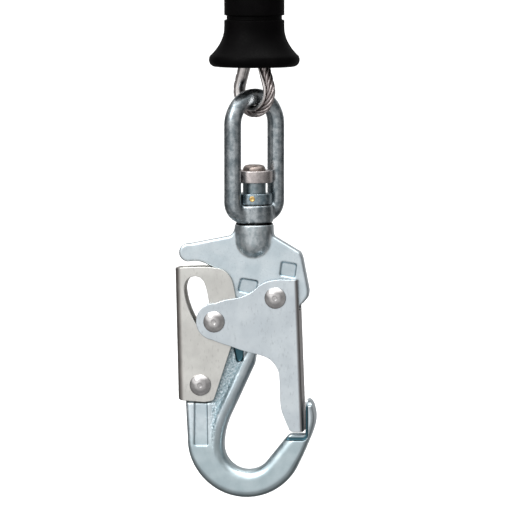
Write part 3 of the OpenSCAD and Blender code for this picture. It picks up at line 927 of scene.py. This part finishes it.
# ---- springs
def tube(name, path, radius, body, sides=10):
    """A round wire along a path in space."""
    path = np.asarray(path, float)
    tangent = directions(path)
    aside = np.cross(tangent[0], [0.3, 0.5, 0.81])
    around = np.arange(sides) * 2 * pi / sides
    points = []
    for centre, along in zip(path, tangent):
        aside = aside - along * (aside @ along)
        aside /= np.linalg.norm(aside)
        other = np.cross(along, aside)
        points.append(centre + radius * (np.cos(around)[:, None] * aside + np.sin(around)[:, None] * other))
    faces = stitched(len(path), sides)
    return link(name, orient(mesh_from(name, np.concatenate(points), faces)), body)


def make_springs(material):
    px, pz = GATE_PIVOT
    turns = [(px + 4.6 * math.cos(a), -1.95 + 3.9 * k / 102, pz + 4.6 * math.sin(a))
             for k, a in ((k, math.radians(10 * k - 60)) for k in range(103))]
    wire = [(px + 9.6, -1.95, -50.4), (px + 6, -1.95, -46.8)] + turns + [(5.6, 1.95, -45.4), (6.2, 1.95, -48.4)]
    spring = finish_piece(tube("gate_return_spring", wire, 0.55, None), material, "spring_steel", "gate_spring")
    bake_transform(spring)
    coil = [(-38.6 + 17.2 * k / 216, 2.9 * math.cos(math.radians(10 * k)),
             -72.6 + 2.9 * math.sin(math.radians(10 * k))) for k in range(217)]
    spring = finish_piece(tube("lever_return_spring", coil, 0.5, "hook"), material, "spring_steel",
                          "lever_spring")
    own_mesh(spring)


# ---- materials
class Nodes:
    """Short ways to add nodes to a tree."""

    def __init__(self, owner):
        owner.use_nodes = True
        self.nodes, self.links = owner.node_tree.nodes, owner.node_tree.links

    def put(self, socket, value):
        if isinstance(value, bpy.types.NodeSocket):
            self.links.new(value, socket)
        else:
            socket.default_value = value

    def remap(self, value, low, high, to_low=0.0, to_high=1.0):
        made = self.nodes.new("ShaderNodeMapRange")
        made.interpolation_type = "SMOOTHSTEP"
        for key, number in (("From Min", low), ("From Max", high), ("To Min", to_low), ("To Max", to_high)):
            made.inputs[key].default_value = number
        self.put(made.inputs["Value"], value)
        return made.outputs["Result"]

    def maths(self, kind, a, b):
        made = self.nodes.new("ShaderNodeMath")
        made.operation = kind
        self.put(made.inputs[0], a)
        self.put(made.inputs[1], b)
        return made.outputs[0]


class Paint(Nodes):
    """A procedural material. Colours are linear, patterns are in millimetres of the piece at rest."""

    def __init__(self, name, roughness, metallic=1.0, **shader):
        self.material = bpy.data.materials.new(name)
        super().__init__(self.material)
        self.shader = self.nodes["Principled BSDF"]
        self.shader.inputs["Metallic"].default_value = metallic
        for key, value in shader.items():
            self.shader.inputs[key.replace("_", " ")].default_value = value
        self.coords = self.nodes.new("ShaderNodeTexCoord").outputs["Object"]
        self.roughness = roughness
        self.bump = None

    def noise(self, size, detail=3.0, stretch=(1, 1, 1), rough=0.5):
        """Noise between 0 and 1 whose spots are about size across."""
        move = self.nodes.new("ShaderNodeMapping")
        self.put(move.inputs["Vector"], self.coords)
        move.inputs["Scale"].default_value = [1 / (size * MM * s) for s in stretch]
        made = self.nodes.new("ShaderNodeTexNoise")
        made.inputs["Scale"].default_value = 1.0
        made.inputs["Detail"].default_value = detail
        made.inputs["Roughness"].default_value = rough
        self.put(made.inputs["Vector"], move.outputs["Vector"])
        return made.outputs["Fac"]

    def pointiness(self):
        return self.nodes.new("ShaderNodeNewGeometry").outputs["Pointiness"]

    def attribute(self, name):
        made = self.nodes.new("ShaderNodeAttribute")
        made.attribute_name = name
        return made.outputs["Fac"]

    def mix(self, low, high, share):
        made = self.nodes.new("ShaderNodeMix")
        made.data_type = "RGBA"
        self.put(made.inputs["Factor"], share)
        for socket, colour in ((made.inputs[6], low), (made.inputs[7], high)):
            self.put(socket, (*colour, 1) if isinstance(colour, tuple) else colour)
        return made.outputs[2]

    def raise_by(self, height, depth, strength=1.0):
        """Adds bumps of depth millimetres."""
        made = self.nodes.new("ShaderNodeBump")
        made.inputs["Distance"].default_value = depth * MM
        made.inputs["Strength"].default_value = strength
        self.put(made.inputs["Height"], height)
        if self.bump:
            self.put(made.inputs["Normal"], self.bump)
        self.bump = made.outputs["Normal"]

    def done(self, colour):
        self.put(self.shader.inputs["Base Color"], colour)
        self.put(self.shader.inputs["Roughness"], self.roughness)
        if self.bump:
            self.put(self.shader.inputs["Normal"], self.bump)
        return self.material


def zinc(name, light, dark, rough=(0.28, 0.42), spots=9.0, grain=0.9, grain_depth=0.02, streak=(1, 1, 1),
         recess=None, edge_highlight=None, fold=None, forging=False):
    """Zinc plating: cloudy colour, fine grain, painted shade in hollows and folds and a painted highlight on
    edges.
    """
    p = Paint(name, 0.3)
    cloud = p.remap(p.noise(spots, 5, rough=0.6), 0.32, 0.68)
    colour = p.mix(light, dark, cloud)
    grain_map = p.noise(grain, 3, streak)
    fleck = p.remap(grain_map, 0.56, 0.74)
    colour = p.mix(colour, tuple(c * 0.72 for c in dark), p.maths("MULTIPLY", fleck, 0.45))
    share = p.remap(p.noise(spots * 0.35, 3), 0.3, 0.7, *rough)
    if recess or edge_highlight:
        # Pointiness paints light: the recess colour is painted shade in hollows and creases, and the colour for
        # convex edges is a painted highlight.
        bend = p.pointiness()
        if recess:
            colour = p.mix(colour, recess, p.remap(bend, 0.495, 0.44))
        if edge_highlight:
            colour = p.mix(colour, edge_highlight, p.remap(bend, 0.52, 0.60))
    # Painted shade: the fold colour darkens the fold wall, which is the same sheet as the plates.
    if fold:
        colour = p.mix(colour, fold, p.attribute("fold_wall_shade"))
    if forging:
        hollow = p.attribute("rough_forging")
        pits = p.noise(1.1, 4, rough=0.65)
        colour = p.mix(colour, (0.22, 0.31, 0.345), p.maths("MULTIPLY", hollow, p.remap(pits, 0.35, 0.62)))
        p.raise_by(p.maths("MULTIPLY", hollow, pits), 0.55)
        share = p.maths("ADD", share, p.maths("MULTIPLY", hollow, 0.12))
        # Painted shade: the bowl is darker than the head.
        colour = p.mix(colour, p.mix((0.475, 0.56, 0.59), (0.39, 0.475, 0.505), cloud), p.attribute("bowl"))
        boss = p.attribute("turned_boss")
        mottle = p.remap(p.noise(2.6, 5, rough=0.65), 0.4, 0.62)
        colour = p.mix(colour, p.mix((0.55, 0.59, 0.61), (0.36, 0.415, 0.435), mottle), boss)
        # Painted shade in near-black teal: gate's seat, rib's pocket, stamped fields' rims and shank; the
        # stamped fields also a little darker.
        colour = p.mix(colour, (0.04, 0.095, 0.12), p.attribute("shade_and_field_tone"))
    p.raise_by(grain_map, grain_depth)
    p.roughness = share
    return p.done(colour)


def brushed(name, light, dark, rough, stretch=(0.25, 0.25, 6), size=0.5, depth=0.006, spots=5.0):
    """Turned, drawn or polished metal with fine lines."""
    p = Paint(name, 0.2)
    line = p.noise(size, 3, stretch)
    cloud = p.remap(p.noise(spots, 4), 0.3, 0.7)
    colour = p.mix(light, dark, p.remap(p.maths("ADD", p.maths("MULTIPLY", cloud, 0.6),
                                                p.maths("MULTIPLY", line, 0.4)), 0.2, 0.8))
    p.raise_by(line, depth)
    p.roughness = p.remap(cloud, 0, 1, *rough)
    return p.done(colour)


def dark_rubber(name, colour, pale, rough, depth):
    p = Paint(name, 0.5, metallic=0.0, Specular_IOR_Level=0.03)
    grain = p.noise(0.7, 4)
    bloom = p.remap(p.noise(14, 5, rough=0.6), 0.35, 0.75)
    p.raise_by(grain, depth)
    p.roughness = p.remap(grain, 0.3, 0.7, *rough)
    return p.done(p.mix(colour, pale, bloom))


def rope_steel():
    p = Paint("wire_rope_steel", 0.3)
    grime = p.remap(p.noise(2.4, 4, rough=0.6), 0.38, 0.66)
    colour = p.mix((0.52, 0.47, 0.46), (0.27, 0.24, 0.235), grime)
    # Painted shade: near-black in the grooves between strands, found by pointiness.
    colour = p.mix(colour, (0.03, 0.026, 0.025), p.remap(p.pointiness(), 0.49, 0.42))
    p.raise_by(p.noise(0.3, 2), 0.01)
    p.roughness = p.remap(grime, 0, 1, 0.26, 0.45)
    return p.done(colour)


MATERIALS = {
    # Hook and eye: the recess colour is painted shade in hollows, and the near-white edge colour is a painted
    # highlight.
    "hook": zinc("zinc_forging", (0.60, 0.665, 0.70), (0.50, 0.575, 0.615), recess=(0.16, 0.27, 0.33),
                 edge_highlight=(0.82, 0.85, 0.86), forging=True),
    "eye": zinc("zinc_eye", (0.46, 0.495, 0.515), (0.19, 0.225, 0.245), rough=(0.26, 0.36), spots=3.2,
                grain=0.7, grain_depth=0.012, recess=(0.10, 0.17, 0.21), edge_highlight=(0.7, 0.74, 0.76)),
    "swivel_zinc": zinc("zinc_swivel", (0.40, 0.47, 0.51), (0.17, 0.24, 0.28), rough=(0.2, 0.3), spots=2.4),
    "washer_zinc": zinc("zinc_washer", (0.66, 0.605, 0.59), (0.45, 0.41, 0.405), rough=(0.24, 0.36), spots=3.0),
    "shank_end": zinc("shank_end_steel", (0.44, 0.375, 0.345), (0.27, 0.225, 0.20), rough=(0.32, 0.46),
                      spots=2.5),
    # The gate's and lever's fold colours are painted shade on their fold walls.
    "gate": zinc("zinc_gate_sheet", (0.61, 0.66, 0.69), (0.52, 0.57, 0.605), rough=(0.3, 0.4), spots=16.0,
                 grain=1.0, grain_depth=0.012, streak=(1, 1, 2.5), fold=(0.30, 0.285, 0.28)),
    "lever": zinc("zinc_lever_sheet", (0.645, 0.64, 0.61), (0.55, 0.545, 0.52), rough=(0.3, 0.42), spots=14.0,
                  grain=1.1, grain_depth=0.012, streak=(1, 1, 2.5), fold=(0.36, 0.335, 0.315)),
    "rivet": brushed("rivet_zinc", (0.56, 0.545, 0.54), (0.40, 0.39, 0.39), (0.09, 0.14), stretch=(1, 1, 1)),
    "brass": brushed("pin_brass", (0.80, 0.56, 0.22), (0.58, 0.38, 0.14), (0.25, 0.36), stretch=(1, 1, 1)),
    "bronze": brushed("bush_bronze", (0.62, 0.42, 0.24), (0.46, 0.30, 0.17), (0.3, 0.42)),
    "thimble": brushed("thimble_stainless", (0.72, 0.685, 0.67), (0.55, 0.52, 0.51), (0.13, 0.2),
                       stretch=(2, 2, 2), depth=0.003, spots=3.0),
    "crimp": brushed("crimp_alloy", (0.62, 0.60, 0.57), (0.46, 0.44, 0.42), (0.3, 0.45)),
    "spring": brushed("spring_wire", (0.46, 0.455, 0.45), (0.3, 0.295, 0.29), (0.25, 0.4), stretch=(1, 1, 1)),
    "steel": brushed("washer_steel", (0.6, 0.6, 0.6), (0.45, 0.45, 0.45), (0.28, 0.4)),
    "rubber": dark_rubber("bumper_rubber", (0.0006, 0.0005, 0.0006), (0.0015, 0.0013, 0.0014), (0.42, 0.6),
                          0.03),
    "plastic": dark_rubber("guide_plastic", (0.012, 0.012, 0.013), (0.02, 0.02, 0.021), (0.35, 0.5), 0.02),
    "rope": rope_steel(),
}

# ---- pieces
rope, rope_path, rope_length = make_rope(MATERIALS["rope"])
ferrule = make_ferrule(MATERIALS["crimp"])
make_thimble(MATERIALS["thimble"])
make_bumper(MATERIALS["rubber"], MATERIALS["plastic"])
make_eye(MATERIALS["eye"])
make_hook(MATERIALS["hook"])
shank_head(MATERIALS["shank_end"])
make_swivel_parts(MATERIALS)
make_gate(MATERIALS["gate"])
make_lever(MATERIALS["lever"])
rivet("gate_rivet_domed", "hook", GATE_PIVOT, 8.65, "gate_pivot_rivet", MATERIALS["rivet"])
rivet("lever_rivet_domed", "hook", LEVER_PIVOT, 6.55, "lever_pivot_rivet", MATERIALS["rivet"])
rivet("arm_rivet_domed", "gate", ARM_PIN, 8.52, "arm_rivet", MATERIALS["rivet"])
make_springs(MATERIALS["spring"])
for node, look in (("bumper_washer", "steel"), ("swivel_bush", "bronze"), ("arm_bush", "bronze"),
                   ("lower_crimp_sleeve", "crimp"), ("upper_crimp_sleeve", "crimp")):
    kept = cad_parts[node]
    kept.data.materials.clear()
    kept.data.materials.append(MATERIALS[look])


# ---- stage and light
FLOOR_BELOW = 0.26


def make_floor():
    """A wide pale floor well below the hook."""
    bm = bmesh.new()
    bmesh.ops.create_grid(bm, x_segments=40, y_segments=40, size=30)
    for v in bm.verts:
        v.co.z = SEAM - FLOOR_BELOW
    mesh = bpy.data.meshes.new("floor")
    bm.to_mesh(mesh)
    bm.free()
    floor = bpy.data.objects.new("floor", mesh)
    bpy.context.scene.collection.objects.link(floor)
    paint = bpy.data.materials.new("floor_paper")
    paint.use_nodes = True
    shader = paint.node_tree.nodes["Principled BSDF"]
    shader.inputs["Base Color"].default_value = (0.93, 0.93, 0.93, 1)
    shader.inputs["Roughness"].default_value = 0.9
    shader.inputs["Specular IOR Level"].default_value = 0.1
    mesh.materials.append(paint)
    floor.visible_glossy = False


def make_world():
    """A soft studio by direction: bright in front and above, darker at the sides, behind and below."""
    world = bpy.data.worlds.new("studio")
    bpy.context.scene.world = world
    sky = Nodes(world)
    coords = sky.nodes.new("ShaderNodeTexCoord").outputs["Generated"]
    total = None
    for direction, low, high, strength in STUDIO:
        dot = sky.nodes.new("ShaderNodeVectorMath")
        dot.operation = "DOT_PRODUCT"
        sky.put(dot.inputs[0], coords)
        dot.inputs[1].default_value = Vector(direction).normalized()
        lobe = sky.remap(dot.outputs["Value"], low, high, 0, strength)
        total = sky.maths("ADD", total, lobe) if total else lobe
    camera_ray = sky.nodes.new("ShaderNodeLightPath").outputs["Is Camera Ray"]
    background = sky.nodes["Background"]
    background.inputs["Color"].default_value = (1, 1, 1, 1)
    sky.put(background.inputs["Strength"], sky.maths("MAXIMUM", total, camera_ray))


# direction of each lobe, where it starts and is full as a cosine, and its strength
STUDIO = (
    ((0, 0, 1), -3, -2, 0.10),
    ((-0.12, -1, -0.08), 0.70, 0.95, 0.50),
    ((0, -1, 0), -0.3, 0.55, 0.36),
    ((0, 1, 0.05), 0.35, 0.85, 0.34),
    ((0, -0.15, 1), 0.55, 0.95, 2.2),
    ((-0.6, -0.75, 0.55), 0.80, 0.97, 0.8),
    ((0, 0, 1), 0.0, 0.5, 0.12),
)


def soft_light(name, where, size, power):
    data = bpy.data.lights.new(name, "AREA")
    data.shape = "DISK"
    data.size = size
    data.energy = power
    lamp = bpy.data.objects.new(name, data)
    bpy.context.scene.collection.objects.link(lamp)
    target = Vector(place(VIEW_CENTRE))
    lamp.location = target + Vector(where)
    lamp.rotation_euler = Vector(where).to_track_quat("Z", "Y").to_euler()


make_floor()
make_world()
soft_light("key", (-0.9, -1.3, 1.1), 0.7, 14)
soft_light("top", (0.1, -0.1, 1.6), 0.9, 12)
bpy.context.scene.view_settings.view_transform = "Standard"
